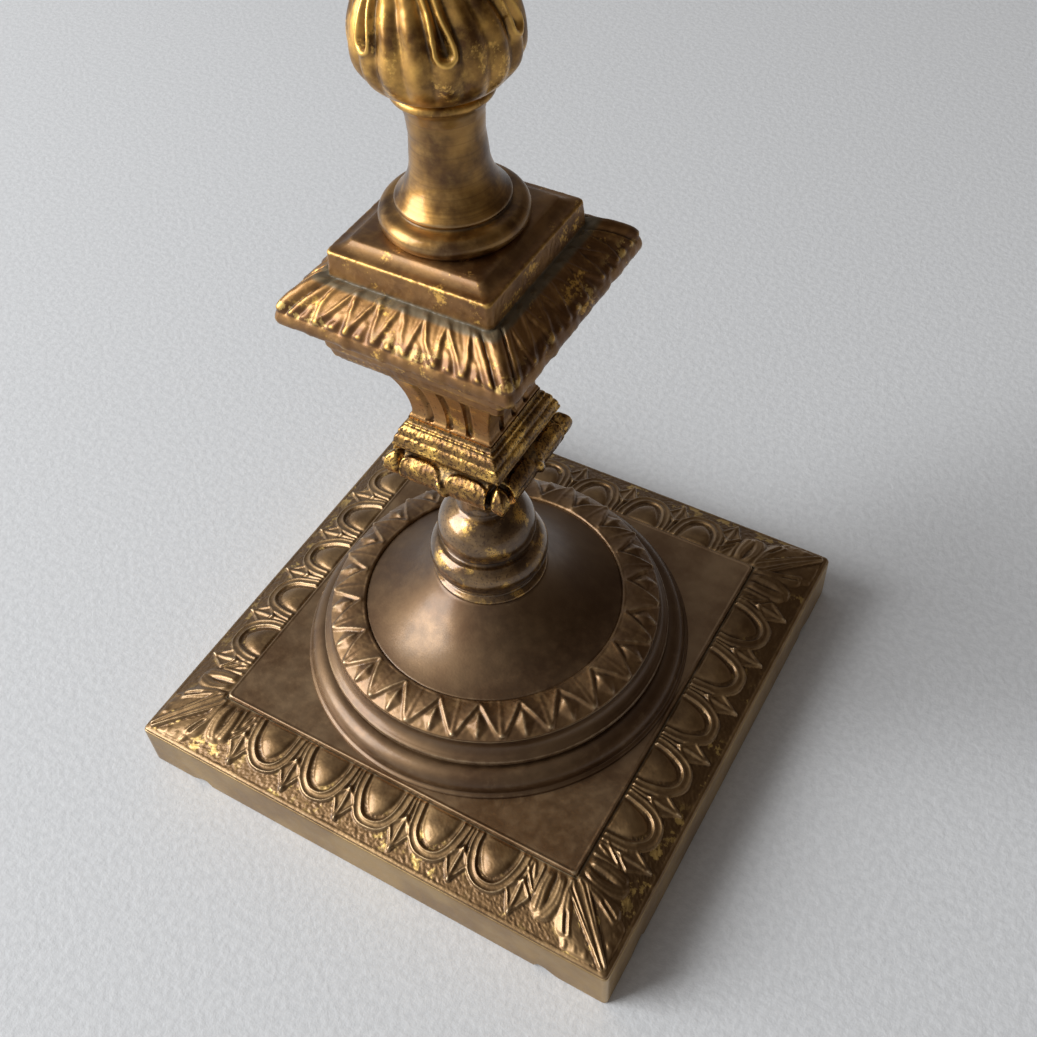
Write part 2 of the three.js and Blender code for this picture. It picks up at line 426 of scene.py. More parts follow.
def border_relief(across, half):
    """Egg and dart between plain fillets: its height, and where its stippled ground shows."""
    out = np.broadcast_to(half - PLATFORM_HALF, across.shape)
    stray = 0.14 * wobble(across, out, half.mean())
    place = across + stray
    row = out + 0.12 * wobble(across, out, 2.0)
    egg, outside_egg = eggs(place, row)
    height = np.where(outside_egg < 0.05, egg, 0)
    for centre in DART_PLACES:
        free = np.where(outside_egg > 0, dart(place - centre, row), 0)
        height = np.where(np.abs(place - centre) < 3.2, np.maximum(height, free), height)
    beside = np.abs(place) - PLATFORM_HALF
    past_eggs = (beside > -9.3) & (outside_egg > 0)
    kite, on_kite, blade = mitre_leaf(np.abs(across) - PLATFORM_HALF, out)
    leaves = np.maximum(side_leaf(beside, row), corner_fingers(beside, row))
    height = np.where(past_eggs, np.maximum(height, np.maximum(leaves, blade)), height)
    height = np.where(on_kite, kite, height)
    height = eased(height * blend(0.7, 1.1, out) * (1 - blend(12.3, 12.8, out)))
    ground = blend(5, 8, out) * (1 - blend(12.6, 12.9, out)) * (np.abs(height) < 0.06)
    stipple = np.where(ground > 0, 0.024, 0.006) * grain(height.shape, seed=11, passes=1)
    return height + 0.08 * blend(12.7, 12.9, out) + stipple, ground


def base_border(name, quarter, material):
    """One side of the ornamented border, from the slab's edge up to the platform."""
    top = fine([
        (54.7, SLAB_TOP), (54.72, 12.1), (54.6, 12.3), *bow((54.4, 12.4), (41.75, BORDER_TOP), 0.3),
    ], 0.16, 0.06)
    under = fine([(41.7, 15.0), *bow((42, 14.6), (54.0, 11.4), -0.5)], 2.5)
    section = np.concatenate([top, under])
    share = np.linspace(-1, 1, BORDER_COLUMNS + 1)[None, :]
    half = top[:, :1]
    height, ground = border_relief(share * half, half)
    halves, levels = raised(section, len(top), height)
    corner = 0.05 + (BASE_CORNER - 0.05) * blend(52.5, 54.5, halves)
    along, out = eased_corner(share * halves, halves, corner)
    dust = np.zeros(halves.shape)
    dust[:len(top)] = 0.8 * (1 - blend(0.4, 1.1, half - PLATFORM_HALF)) - ground
    piece = grid_piece(name, on_side(quarter, along, out, levels), len(top), wrap=False, dust=dust)
    finish_piece(piece, material, "base_plinth")


def base_slab(material):
    """Slab with its foot notches and the hollow below."""
    bottom = node_span("base_plinth")[0]
    outside = np.concatenate([
        fine([
            (54.4, bottom), (54.9, bottom + 0.15), (SLAB_HALF, bottom + 0.7), (SLAB_HALF, 11.3),
        ], 0.5),
        fine([
            (54.98, 11.6), (54.9, 11.85), (54.78, 11.9), (54.7, SLAB_TOP), (54.6, 11.4), (54, 11.4),
        ], 0.12, 0.05),
    ])
    inside = [(50, 11), (41, 11), (41, 10), (49.9, 10), (50.5, 9.4), (50.5, 4), (50.5, bottom + 0.4),
              (50.8, bottom), (52.6, bottom)]

    def notches(across, half, level):
        """Lifts the lower edge over a short stretch near each corner, as a bracket foot does."""
        place = np.abs(across) - FOOT_NOTCH_PLACE
        lift = FOOT_NOTCH_LIFT * blend(-2.8, -1.6, place) * (1 - blend(-1.0, 3.0, place))
        return level + lift * np.clip(1 - level / FOOT_HEIGHT, 0, 1)

    piece = squared("base_slab", outside, inside, 210, corner=BASE_CORNER, reshape=notches)
    finish_piece(piece, material, "base_plinth")


def base_platform(material):
    """The flat square platform under the dome, with a fine raised line along its edge."""
    top = node_span("base_plinth")[1]
    outside = np.concatenate([
        fine([
            (42.3, 14.6), (42.0, 15.3), (41.72, 15.7), (41.6, 16.2), (41.45, top - 0.02),
            (41.3, top + 0.1), (41.05, top + 0.08), (40.85, top - 0.02), (40.2, top),
        ], 0.12, 0.06),
        fine([(38, top), (20, top), (ROD_BORE, top)], 2.5),
    ])
    inside = [(ROD_BORE, 10.05), (20, 10.05), (PLATFORM_HALF, 10.05), (41.3, 14)]
    piece = squared("base_platform", outside, inside, 150, corner=0.8)
    finish_piece(piece, material, "base_plinth")


LEAVES_ROUND_DOME = 22
RING_INNER = 27.3
RING_OUTER = 34.1


def pointed_leaves(turns, inward, pitch, edge=0.5, dart=0.55):
    """Leaves in a zigzag of raised edges with darts between.

    turns counts leaves, inward is 1 at their base, and pitch is the width of one in millimetres.
    """
    place = turns - np.round(turns)
    share = np.clip(1 - inward, 0, 1)
    half = 0.5 * (1 - 0.96 * share)
    off = np.abs(place)
    leaf = off < half
    body = 0.06 + 0.3 * (off / np.maximum(half, 0.02)) ** 2 + 0.2 * share
    vein = 0.1 * ridge(place * pitch, 0.3) + 0.45 * share ** 4 * ridge(place * pitch, 0.55)
    rims = edge * ridge((off - half) * pitch * 0.85, 0.46)
    between = 0.5 - off
    width = np.minimum((share - 0.32) / 0.34, (1.02 - share) / 0.34) * 0.2
    blade = 0.05 + dart * (1 - between / np.maximum(width, 1e-3))
    blade = np.where((width > 0) & (between < width), blade, -0.2)
    return np.maximum(np.where(leaf, body + vein, blade), rims)


def leaf_ring(material):
    """Cast ring of pointed leaves round the bell's foot."""
    outside = fine([
        (34.3, 27.2), (34.35, 27.6), *bow((34.1, 27.75), (27.4, 30.1), 0.5), (27.1, 30.3),
        (26.8, 30.2), (26.6, 29.9),
    ], 0.19, 0.1)
    inside = [(26.6, 28.8), (29, 28.2), (33.6, 26.6)]

    def relief(radius, level, angle):
        outwards = radius - RING_INNER
        turns = angle * LEAVES_ROUND_DOME / (2 * math.pi) + 0.48
        turns = turns + 0.03 * wobble(np.sin(angle) * 30, np.cos(angle) * 30, 1.0)
        inward = (RING_OUTER - radius) / (RING_OUTER - RING_INNER)
        inward = inward + 0.02 * wobble(np.sin(angle) * 40 + outwards, np.cos(angle) * 40, 3.0)
        pitch = radius * 2 * math.pi / LEAVES_ROUND_DOME
        leaves = pointed_leaves(turns, np.clip(inward, 0, 1), pitch)
        inside_band = blend(-0.02, 0.03, inward) * (1 - blend(0.98, 1.03, inward))
        return eased(leaves * inside_band) + 0.012 * grain(leaves.shape, seed=5)

    piece = turned("dome_leaf_ring", outside, inside, LEAVES_ROUND_DOME * 40, relief)
    finish_piece(piece, material, "base_dome")


def base_dome(material):
    """Stepped round moulding and the concave bell that rises from it to the collar."""
    foot, top = node_span("base_dome")
    moulding = fine([
        (40.7, foot - 0.1), (40.8, 16.9), (40.55, 17.25), (40.2, 17.4),
        *bow((40, 17.7), (36.3, 21.3), 1.15), (35.9, 21.35), (35.75, 21.55), (35.9, 21.75),
        (36.4, 21.95), (36.5, 22.4), (36.35, 23.0), (35.95, 23.2),
        *bow((35.8, 23.4), (34.3, 26.9), -0.6), (34.35, 27.1), (34.2, 27.3),
    ], 0.2, 0.1)
    under_ring = fine([(33, 27.3), (27.5, 29.2)], 2)
    bell = fine([
        (26.75, 29.4), *bow((26.6, 29.8), (11.5, top - 0.3), -1.4), (11.2, top - 0.1), (10.6, top),
    ], 0.3, 0.1)
    outside = np.concatenate([moulding, under_ring, bell])
    inside = [(ROD_BORE, top), (ROD_BORE, 36.8), (10.5, 36.8), (24.5, 26.4), (31.4, 25), (33, 20.5),
              (36.6, foot)]
    piece = turned("base_dome", outside, inside, 256)
    finish_piece(piece, material, "base_dome")


# ---------------- stem


def bored(outside):
    """The two inside points that close a section down the rod's bore."""
    return [(ROD_BORE, outside[-1][1]), (ROD_BORE, outside[0][1])]


def stem_collar(material):
    """Turned bobbin: lip, large torus, groove, ball and short neck."""
    bottom, top = node_span("stem_collar")
    outside = fine([
        (11.3, bottom), (11.45, 40.7), (11.35, 41.05), (10.8, 41.4), (10.3, 41.65), (10.25, 42.1),
        *bow((10.35, 42.4), (9.9, 49.4), 1.65), (9.2, 49.5), (8.75, 49.85), (9.1, 50.35),
        *bow((9.4, 50.6), (5.6, 59), 1.6), (5.2, 59.4), *bow((5.25, 60), (7.4, 68.6), -0.9),
        (7.6, 69.2), (7.6, top),
    ], 0.22, 0.1)
    piece = turned("stem_collar", outside, bored(outside), 180)
    finish_piece(piece, material, "stem_collar")


def roll_relief(across, height):
    """Two long lobes bound by a bead in the middle, and a knob at each end past a deep gap.

    It gives the relief, and where the roll is outside its lobes.
    """
    off = np.abs(across)
    lens = round_box((off - 4.85) / 4.2, (height - 0.5) / 3.2, 3.2)
    lobe = np.where(lens < 1.02, 0.05 + 0.3 * dome(np.clip(lens, 0, 1)), -0.5)
    lobe = np.maximum(lobe, 0.32 * ridge(lens - 0.9, 0.13))
    crease = -0.22 * ridge(height - 0.6 - 0.35 * np.sign(across), 0.3) * ridge(off - 4.8, 3.4)
    bead = np.hypot((across + 0.35 * height) / 1.0, (height + 0.2) / 1.8)
    beaded = np.where(bead < 1, 0.25 + 0.8 * dome(np.clip(bead, 0, 1)), lobe + crease)
    knob = np.where(off > 9.8, 0.08, beaded)
    return knob - 1.7 * ridge(off - 9.45, 0.6) * ridge(height, 6.5), lens > 1.05


def lower_block(material):
    """Small square pedestal: bound reed roll, dusty recess, ledge, pitted band and cap recess."""
    bottom, top = node_span("lower_block")
    roll_radius = 3.2
    roll_axis = 9.3
    roll_foot = 71.2
    middle = roll_foot + roll_radius
    roll_top = middle + roll_radius
    outside = np.concatenate([
        fine([(8.4, bottom), (8.6, 70.6), (9.0, 71.0)], 0.3),
        fine(bow((roll_axis, roll_foot), (roll_axis, roll_top), roll_radius), 0.2, 0.05),
        fine([
            (9.3, 77.7), (9.6, 78.4), (10.3, 78.6), (10.85, 78.75), (11.05, 79.0), (11.0, 79.4),
            (10.8, 79.6), *bow((10.8, 79.8), (10.3, 81.1), 0.14), (10.05, 81.3),
            *bow((10.1, 81.45), (9.5, 82.7), 0.16), (9.15, 82.9), (9.15, 83.4), (8.7, 83.55),
            (8.5, 83.8), (8.5, top),
        ], 0.2, 0.07),
    ])

    def relief(across, half, level):
        on_roll = (level > roll_foot) & (level < roll_top) & (half > roll_axis)
        turn = np.arctan2(level - middle, half - roll_axis)
        height = np.where(on_roll, eased(roll_relief(across, turn * roll_radius)[0]), 0)
        return height + 0.014 * grain(height.shape, seed=23)

    def dust(across, half, level):
        turn = np.arctan2(level - middle, np.maximum(half - roll_axis, 0.01))
        outside_lobes = roll_relief(across, turn * roll_radius)[1] & (np.abs(across) < 9.4)
        shelf = blend(middle + 0.6, middle + 1.4, level) * (1 - blend(78.6, 78.9, level)) * outside_lobes
        return 0.45 * np.maximum(shelf, 0.7 * ridge(level - 83.9, 0.7))

    piece = squared("lower_block", outside, bored(outside), 150, corner=0.35, relief=relief, dust=dust)
    finish_piece(piece, material, "lower_block")


FLUTE_PLACES = (-0.5, 0, 0.5)
FLUTE_HALF = 0.085
FLUTE_DEPTH = 0.75


def fluted_shaft(material):
    """Waisted square shaft with three flutes on a face, their feet rounded."""
    bottom, top = node_span("fluted_shaft")
    outside = fine([
        (8.3, bottom), (8.35, 85.1), (8.0, 85.5), (7.9, 86.2), *bow((8, 87.6), (13.9, top), -1.1),
    ], 0.22, 0.12)

    def relief(across, half, level):
        height = np.zeros(across.shape)
        for place in FLUTE_PLACES:
            beside = across - place * half
            channel = dome(np.clip(np.abs(beside) / (FLUTE_HALF * half), 0, 1))
            height = height - FLUTE_DEPTH * channel * blend(85.1, 85.5, level)
        return height

    piece = squared("fluted_shaft", outside, bored(outside), 110, corner=0.35, relief=relief)
    finish_piece(piece, material, "fluted_shaft")


PLATE_LEAVES = 8
STEP_HALF = 15.0
BAND_HALF = 21.2


def plate_relief(across, half, level):
    """Ribbed pointed leaves from the step to the rim, and a rounded leaf on each mitre."""
    share = np.clip((half - STEP_HALF) / (BAND_HALF - STEP_HALF), 0, 1)
    share = share + 0.05 * wobble(1.3 * across, half, 5.0)
    turns = across / half * PLATE_LEAVES / 2 + 0.5 + 0.07 * wobble(1.1 * across, half, 1.0)
    pitch = 2 * half / PLATE_LEAVES
    off = np.abs(turns - np.round(turns))
    uneven = wobble(across, share, 4.0)
    leaves = (0.75 + 0.25 * uneven) * pointed_leaves(turns, 1 - share, pitch, 0.6, 0.2)
    pits = -0.45 * dome(np.hypot((0.5 - off) * pitch / 0.9, (share - 0.5) / 0.14))
    lumps = (0.42 + 0.16 * uneven) * dome(np.hypot(off * pitch / 1.0, (share - 0.86) / 0.15))
    between = (0.36 - 0.16 * uneven) * dome(np.hypot((0.5 - off) * pitch / 0.8, (share - 0.92) / 0.13))
    height = np.maximum(leaves + pits, np.maximum(lumps, between))
    beside = half - np.abs(across)
    crest = 0.15 + 0.62 * dome(beside / 1.9) * (1 - 0.6 * blend(0.75, 1.0, share))
    lobe = 0.5 * dome((beside - 3.1) / 0.9)
    groove = -0.25 * ridge(beside - 2.05, 0.35)
    corner = np.where(beside < 1.9, crest, np.maximum(lobe, 0) + groove)
    height = np.where(beside < 3.9, corner, height)
    on_band = (level > 112.6) & (half > STEP_HALF)
    height = np.where(on_band, height * blend(0.0, 0.1, share), 0)
    scallop = 0.07 * np.cos(2 * math.pi * turns) + 0.1 * wobble(3 * across, level, 2.0)
    on_rim = (half > 20.9) & (level > 110.4)
    return eased(np.where(on_rim, scallop * (beside > 3), height), 2)


def upper_plate(material):
    """Square plate: soffit moulding, rounded rim, leaf band and the raised step under the neck."""
    bottom, top = node_span("upper_plate")
    outside = np.concatenate([
        fine([
            (14.6, bottom), (15.4, 101.2), (15.6, 101.8), (15.95, 102), (16.35, 103.8), (16.6, 104.1),
            *bow((16.7, 104.4), (20.2, 110.2), -1),
        ], 0.4),
        fine([
            (20.4, 110.35), (21.0, 110.5), (21.35, 110.8), (21.5, 111.4), (21.45, 112.0), (21.3, 112.5),
        ], 0.22),
        fine(bow((21.2, 112.8), (15.4, 117.5), 0.5), 0.2, 0.08),
        fine([
            (15.1, 117.6), (14.75, 117.75), (14.7, 118.1), (14.5, 121.8), (14.4, 122.1), (14.15, 122.2),
            *bow((14.0, 122.25), (11.7, 123.45), -0.25), (11.4, 123.5), (11, top),
        ], 0.22, 0.08),
    ])

    def relief(across, half, level):
        rough = 0.012 * grain(across.shape, seed=41) * (half > 14)
        return plate_relief(across, half, level) + rough

    def dust(across, half, level):
        by_step = 0.9 * ridge(half - 15.4, 1.3) * ridge(level - 117.3, 1.3)
        lumpy = blend(19.0, 20.2, half) * (1 - blend(20.9, 21.2, half)) * (level > 112)
        return by_step - 0.5 * lumpy + 0.3 * blend(122.2, 122.5, level)

    piece = squared("upper_plate", outside, bored(outside), 190, corner=1.0, relief=relief, dust=dust)
    finish_piece(piece, material, "upper_plate")


def stem_neck(material):
    """Turned neck: torus foot, groove, flare and waist."""
    bottom, top = node_span("stem_neck")
    outside = fine([
        (10.8, bottom), *bow((10.95, 123.8), (10.2, 127.1), 1.05), (9.3, 127.2), (8.75, 127.35),
        (8.65, 127.6), (8.95, 127.9), (8.9, 128.3), *bow((8.6, 128.6), (5.9, 135.2), -0.7), (5.6, 138.6),
        (5.8, 142), (6.3, 143.9), (6.6, 144.3), (6.6, top),
    ], 0.25, 0.14)
    piece = turned("stem_neck", outside, bored(outside), 160)
    finish_piece(piece, material, "stem_neck")


def neck_ring(material):
    """Thin bright ring under the bulb."""
    bottom, top = node_span("neck_ring")
    outside = fine([
        (6.8, bottom), *bow((7.15, bottom + 0.1), (7.15, top - 0.1), 0.5), (6.9, top),
    ], 0.15, 0.06)
    piece = turned("neck_ring", outside, bored(outside), 160)
    finish_piece(piece, material, "neck_ring")


BULB_LEAVES = 6
LOBES_PER_LEAF = 3
BULB_SWAY = math.radians(16)
EYE_LEVEL = 156.2
EYE_RADIUS = 0.85


def bulb_relief(radius, level, angle):
    """Lobed acanthus leaves, with a rimmed drop-shaped eye where two leaves meet."""
    sway = BULB_SWAY * blend(155, 169, level)
    turns = (angle + sway) * BULB_LEAVES / (2 * math.pi) - 0.16
    lobe = turns * LOBES_PER_LEAF
    off = np.abs(lobe - np.round(lobe))
    spacing = 2 * math.pi * radius / (BULB_LEAVES * LOBES_PER_LEAF)
    groove = (0.5 - off) * spacing
    lobes = 0.24 * np.cos(2 * math.pi * lobe) - 0.22 * np.exp(-(groove / 0.4) ** 2)
    lobes = lobes + 0.15 * wobble(3 * angle, 0.7 * level, 2.0)
    joint = np.abs(turns - np.round(turns)) * 2 * math.pi * radius / BULB_LEAVES
    slot = EYE_RADIUS - 0.55 * blend(EYE_LEVEL, 161, level)
    round_end = np.hypot(joint, EYE_LEVEL - level) - EYE_RADIUS
    to_edge = np.where(level < EYE_LEVEL, round_end, joint - slot)
    upper_end = 1 - blend(168, 175, level)
    pit = (blend(-0.6, 0.15, to_edge) - 1) * upper_end
    rim = 0.42 * ridge(to_edge - 0.5, 0.55) * upper_end
    fade = blend(147.6, 151.5, level) * (1 - blend(176, 183.5, level))
    return eased((np.where(to_edge < 0.9, np.maximum(lobes, 0.1), lobes) + rim) * fade + pit)


def leaf_bulb(material):
    """Bulb clad in acanthus, widest low down and drawn out to a slim neck."""
    bottom, top = node_span("leaf_bulb")
    outside = fine([
        (7, bottom), *bow((8.2, 146.9), (11.9, 153), 1), *bow((11.9, 153.6), (9.3, 161), 0.6),
        *bow((9.1, 161.6), (5.4, 180.4), -0.7), (5.2, top),
    ], 0.26, 0.12)
    piece = turned("leaf_bulb", outside, bored(outside), 360, bulb_relief)
    finish_piece(piece, material, "leaf_bulb")


def upper_knop(material):
    """Turned knop under the socket."""
    bottom, top = node_span("upper_knop")
    outside = fine([
        (6.6, bottom), (6.85, 184.3), (6.8, 185.2), (6.4, 185.5), (5.4, 186.1), (5.5, 187),
        *bow((6.6, 187.4), (6.6, 192.2), 1.9), (5.4, 192.7), (5.3, 193.2), (5.5, 193.9),
        (7.1, 194.6), (7.3, 195), (7.2, top),
    ], 0.22, 0.12)
    piece = turned("upper_knop", outside, bored(outside), 160)
    finish_piece(piece, material, "upper_knop")


# ---------------- socket and drip pan

SOCKET_GADROONS = 16


def candle_socket(material):
    """Vase-shaped socket: gadrooned cup, plain waist with two turned lines, rolled lip."""
    bottom, top = node_span("candle_socket")
    outside = fine([
        (6.4, bottom), *bow((6.6, 196.6), (12.6, 203.4), 1.2), (13.0, 203.7), (13.7, 204.3),
        (13.8, 205.1), (13.4, 205.8), *bow((13.35, 206.4), (13.5, 216), -0.35), (13.75, 216.3),
        (13.75, 216.8), (13.5, 217.1), *bow((13.5, 217.4), (14.2, 227.4), -0.15), (14.5, 228.0),
        *bow((15, 228.5), (15, 231.3), 0.8), (14.8, top),
    ], 0.27, 0.12)
    inside = [(12.7, top), (12.6, top - 0.4), (12.6, 206.4), (12.2, 206), (0, 206), (0, 203.6),
              (ROD_BORE, 203.6), (ROD_BORE, bottom)]

    def relief(radius, level, angle):
        lobe = angle * SOCKET_GADROONS / (2 * math.pi)
        off = np.abs(lobe - np.round(lobe))
        cup = blend(196.9, 198.5, level) * (1 - blend(202.2, 203.4, level))
        return (0.75 * dome(np.clip((0.5 - off) * 1.9, 0, 1)) - 0.4) * cup

    piece = turned("candle_socket", outside, inside, 224, relief, merge=True)
    finish_piece(piece, material, "candle_socket")


PAN_LEAVES = 18
PAN_RING_INNER = 16.8
PAN_RING_OUTER = 21.5


def drip_pan(material):
    """Removable pan: sleeve for the candle, dished floor with a ring of leaves, rolled rim."""
    bottom, top = node_span("drip_pan")
    seat = 232.3
    sleeve = fine([
        (12.1, bottom), (12.2, bottom + 0.3), (12.2, seat - 0.2), (12.5, seat), (16.6, seat),
    ], 0.6)
    flare = fine([
        *bow((17, seat + 0.1), (21.8, 236.6), -0.6), (22.6, 236.95), (22.9, 237.2),
        *bow((23, 237.5), (23, top - 0.25), 0.3), (22.7, top - 0.05), (22.4, top), (22.1, top - 0.1),
    ], 0.25)
    dish = fine([*bow((21.7, 238.3), (16.6, 234.1), 0.6), (16.2, 233.95)], 0.25, 0.08)
    well = fine([
        (15.6, 233.9), (13.8, 233.9), (13.4, 234.1), (12.95, 236.3), (12.7, 236.6), (11.4, 236.6),
        (11.1, 236.3), (11.1, 226), (11.1, bottom + 0.2),
    ], 0.5)
    outside = np.concatenate([sleeve, flare, dish, well])
    first = len(sleeve) + len(flare)

    def relief(radius, level, angle):
        """A ring of leaves on the dish's upper side."""
        on_dish = np.zeros(radius.shape, bool)
        on_dish[first:first + len(dish)] = True
        on_dish &= (level > 234.2) & (radius > PAN_RING_INNER) & (radius < PAN_RING_OUTER)
        turns = angle * PAN_LEAVES / (2 * math.pi)
        inward = (PAN_RING_OUTER - radius) / (PAN_RING_OUTER - PAN_RING_INNER)
        pitch = radius * 2 * math.pi / PAN_LEAVES
        leaves = pointed_leaves(turns, np.clip(inward, 0, 1), pitch, 0.35, 0.35)
        return np.where(on_dish, 0.8 * leaves, 0)

    piece = turned("drip_pan", outside, [(11.3, bottom)], 360, relief)
    finish_piece(piece, material, "drip_pan", body="drip_pan")


# ---------------- materials


class Look:
    """Builds one material's nodes. Texture sizes are in millimetres of the object's own space."""

    def __init__(self, name):
        self.material = bpy.data.materials.new(name)
        self.material.use_nodes = True
        self.tree = self.material.node_tree
        self.shader = self.tree.nodes["Principled BSDF"]
        place = self.node("ShaderNodeTexCoord").outputs["Object"]
        scaled = self.node("ShaderNodeVectorMath", operation="SCALE")
        self.link(place, scaled.inputs[0])
        scaled.inputs["Scale"].default_value = 1 / MM
        self.place = scaled.outputs[0]

    def node(self, kind, **settings):
        made = self.tree.nodes.new(kind)
        for key, value in settings.items():
            setattr(made, key, value)
        return made

    def link(self, source, target):
        self.tree.links.new(source, target)

    def feed(self, target, value):
        """Sets a socket to a number or colour, or links another socket to it."""
        if isinstance(value, bpy.types.NodeSocket):
            self.link(value, target)
        elif isinstance(value, tuple):
            target.default_value = (*value, 1)
        else:
            target.default_value = value

    def fill(self, node, values):
        """Feeds several sockets of a node by name."""
        for name, value in values.items():
            self.feed(node.inputs[name], value)

    def surface(self, name):
        """A value that the mesh carries."""
        return self.node("ShaderNodeAttribute", attribute_name=name).outputs["Fac"]

    def noise(self, size, detail, roughness=0.55, vector=None):
        made = self.node("ShaderNodeTexNoise")
        self.fill(made, {
            "Vector": vector or self.place, "Scale": 1 / size, "Detail": detail, "Roughness": roughness,
        })
        return made.outputs["Fac"]

    def rings(self, size):
        """Turning marks: noise that varies with radius and height only."""
        split = self.node("ShaderNodeSeparateXYZ")
        self.link(self.place, split.inputs[0])
        flat = self.node("ShaderNodeCombineXYZ")
        self.fill(flat, {"X": split.outputs["X"], "Y": split.outputs["Y"]})
        radius = self.node("ShaderNodeVectorMath", operation="LENGTH")
        self.link(flat.outputs[0], radius.inputs[0])
        turned_place = self.node("ShaderNodeCombineXYZ")
        self.fill(turned_place, {"X": radius.outputs["Value"], "Y": split.outputs["Z"]})
        return self.noise(size, 2.0, 0.6, turned_place.outputs[0])

    def math(self, operation, a, b):
        made = self.node("ShaderNodeMath", operation=operation)
        self.feed(made.inputs[0], a)
        self.feed(made.inputs[1], b)
        return made.outputs[0]

    def smooth(self, value, low, high, to_low=0.0, to_high=1.0):
        """The value from low to high, spread smoothly over the new range."""
        made = self.node("ShaderNodeMapRange", interpolation_type="SMOOTHSTEP")
        self.fill(made, {
            "Value": value, "From Min": low, "From Max": high, "To Min": to_low, "To Max": to_high,
        })
        return made.outputs["Result"]

    def mix(self, share, below, above):
        made = self.node("ShaderNodeMix", data_type="RGBA")
        self.fill(made, {"Factor": share, "A": below, "B": above})
        return next(output for output in made.outputs if output.type == "RGBA")

    def bump(self, height, depth, normal=None):
        made = self.node("ShaderNodeBump")
        self.fill(made, {"Distance": depth * MM, "Height": height})
        if normal:
            self.link(normal, made.inputs["Normal"])
        return made.outputs["Normal"]


GOLD = (0.82, 0.49, 0.12)
PALE_GOLD = (0.66, 0.45, 0.15)
TAN = (0.42, 0.27, 0.12)
LIGHT_TAN = (0.56, 0.41, 0.24)
# Near-black brown of the painted shade and grime in grooves and hollows.
GRIME_AND_SHADE = (0.050, 0.028, 0.014)
PIT = (0.075, 0.038, 0.018)
DUST = (0.19, 0.165, 0.11)


def brass(name, dark, mid, light, rough, wear, worn=LIGHT_TAN, gilt=0.0, pits=0.0,
          mottle_share=0.4, grime_shade_share=0.8, turned_marks=0.0, cloud_size=16, wax=0.5, wax_rough=0.25):
    """Old brass: cloudy tone, grime with painted shade in the recesses, worn bright edges, rests of
    gilding, pits and dust.

    The shares run from 0 to 1. rough is the clean metal's roughness, worn its rubbed colour, and
    wax the weight of the clear layer that dulls the metal and gives it pale highlights.
    """
    look = Look(name)
    edge = look.surface("edge")
    marked = look.surface("dust")
    clouds = look.noise(cloud_size, 4)
    mottle = look.noise(2.4, 5, 0.62)
    specks = look.noise(0.5, 2, 0.6)
    colour = look.mix(look.smooth(clouds, 0.34, 0.68), dark, mid)
    colour = look.mix(look.smooth(mottle, 0.42, 0.80, 0, mottle_share), colour, light)
    if turned_marks > 0:
        rings = look.rings(0.5)
        colour = look.mix(look.smooth(rings, 0.45, 0.75, 0, 0.45 * turned_marks), colour, dark)
    broken = look.math("SUBTRACT", look.math("MULTIPLY", mottle, 0.2), 0.1)
    # Convexity with noise: above 0 it drives the worn bright edges, below 0 the painted shade in hollows.
    edge_wear_and_shade = look.math("ADD", edge, broken)
    if gilt > 0:
        patches = look.math("ADD", look.noise(4.5, 3), look.math("MULTIPLY", specks, 0.45))
        patch_share = look.smooth(patches, 0.86 - 0.28 * gilt, 1.0 - 0.28 * gilt, 0, 0.95)
        colour = look.mix(patch_share, colour, GOLD)
    ground = look.smooth(look.math("MULTIPLY", marked, -1.0), 0.02, 0.5)
    colour = look.mix(ground, colour, dark)
    fleck = look.math("MULTIPLY", ground, look.smooth(mottle, 0.52, 0.58))
    fleck = look.math("MULTIPLY", fleck, look.smooth(look.noise(9, 2), 0.42, 0.6, 0, 0.85))
    colour = look.mix(fleck, colour, PALE_GOLD)
    # Painted shade with grime: the relief's grooves and hollows are darkened towards a near-black brown.
    hollow_shade_and_grime = look.smooth(look.math("MULTIPLY", edge_wear_and_shade, -1.0), 0.03, 0.19, 0, grime_shade_share)
    colour = look.mix(hollow_shade_and_grime, colour, GRIME_AND_SHADE)
    bright = look.smooth(edge_wear_and_shade, 0.06, 0.22, 0, wear)
    colour = look.mix(bright, colour, worn)
    if pits > 0:
        pitted = look.smooth(specks, 0.62 - 0.13 * pits, 0.68 - 0.12 * pits, 0, 0.5 + 0.45 * pits)
        colour = look.mix(pitted, colour, PIT)
    dusty = look.smooth(look.math("ADD", marked, broken), 0.15, 0.8, 0, 0.8)
    colour = look.mix(dusty, colour, DUST)
    roughness = look.smooth(mottle, 0.3, 0.75, rough - 0.05, rough + 0.1)
    roughness = look.math("ADD", roughness, look.math("MULTIPLY", hollow_shade_and_grime, 0.18))
    roughness = look.math("ADD", roughness, look.math("MULTIPLY", dusty, 0.3))
    roughness = look.math("SUBTRACT", roughness, look.math("MULTIPLY", bright, 0.08))
    normal = look.bump(mottle, 0.03)
    normal = look.bump(specks, 0.015 + 0.03 * pits, normal)
    if turned_marks > 0:
        normal = look.bump(rings, 0.02 * turned_marks, normal)
    look.fill(look.shader, {
        "Base Color": colour, "Metallic": 1.0, "Roughness": roughness, "Coat Weight": wax,
        "Coat Roughness": wax_rough, "Normal": normal,
    })
    return look.material


